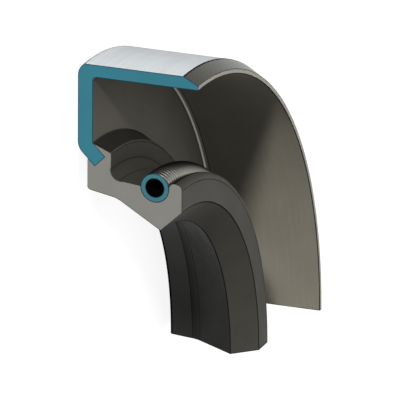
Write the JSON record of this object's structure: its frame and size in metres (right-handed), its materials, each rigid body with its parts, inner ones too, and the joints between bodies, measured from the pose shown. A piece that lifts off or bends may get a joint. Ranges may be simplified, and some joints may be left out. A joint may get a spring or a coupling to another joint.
{
  "type": "sectioned oil seal",
  "caption": "Quarter section of a metal-cased rotary shaft seal: stamped steel case, rubber lip moulded on its rim, garter spring in the lip's groove.",
  "frame": {"origin": "on the shaft's axis, in the plane of the flange's outer face", "axes": "+Z along the shaft's axis, from the flange towards the open end; the first cut face lies in y = 0 on the -X side and the section runs from there to the second cut face, in x = 0 on the +Y side"},
  "size_m": [0.02, 0.02, 0.007],
  "materials": {
    "case_steel": "pressed steel, ground on the outside, with the cut faces painted blue-green",
    "lip_rubber": "satin black moulded rubber, grey where it is cut",
    "spring_steel": "drawn spring wire, dull bright, painted blue-green where it is cut"
  },
  "bodies": {
    "root": {"metal_case": "case_steel", "sealing_lip": "lip_rubber", "garter_spring": "spring_steel"}
  },
  "joints": []
}
